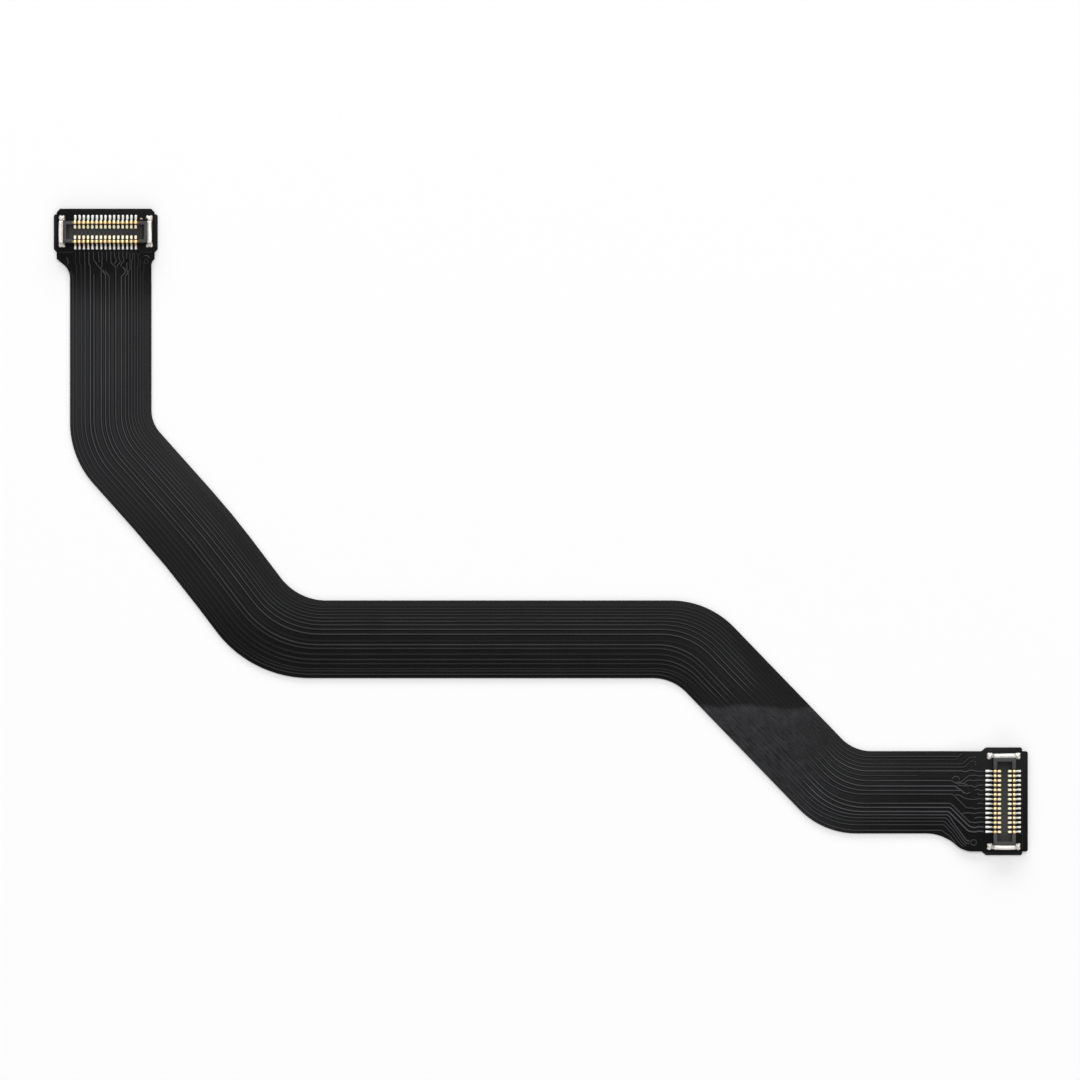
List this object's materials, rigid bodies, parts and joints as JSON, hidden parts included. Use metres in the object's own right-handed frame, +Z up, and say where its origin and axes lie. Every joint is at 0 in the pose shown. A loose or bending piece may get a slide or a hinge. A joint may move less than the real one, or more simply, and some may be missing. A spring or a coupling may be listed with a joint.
{
  "type": "flat flex cable",
  "caption": "Black flat flex cable cut to a stepped S, with copper lanes in relief and a low board-to-board plug on a stiffened head at each end.",
  "frame": {"origin": "centre of the cable's plan, on the table it lies on", "axes": "+X along the cable towards the right head, +Y towards the far side where the left head points, +Z up out of the table"},
  "size_m": [0.0834, 0.0554, 0.0011],
  "materials": {
    "film": "black polyimide cover film with a soft sheen, copper lanes in low relief",
    "stiffener": "black glass-filled laminate plate",
    "housing": "black moulded high-temperature plastic",
    "contact": "stamped copper alloy, gold plated on the crown and foot, tinned on the tail",
    "strap": "tinned stamped strap",
    "solder": "bright reflowed solder"
  },
  "bodies": {
    "root": {"flex_circuit": "film", "left_stiffener": "stiffener", "right_stiffener": "stiffener", "left_housing": "housing", "right_housing": "housing", "left_front_contacts": "contact", "left_rear_contacts": "contact", "right_front_contacts": "contact", "right_rear_contacts": "contact", "left_front_solder": "solder", "left_rear_solder": "solder", "right_front_solder": "solder", "right_rear_solder": "solder", "left_west_hold_down": "strap", "left_east_hold_down": "strap", "right_north_hold_down": "strap", "right_south_hold_down": "strap", "left_west_hold_down_solder": "solder", "left_east_hold_down_solder": "solder", "right_north_hold_down_solder": "solder", "right_south_hold_down_solder": "solder"}
  },
  "joints": []
}
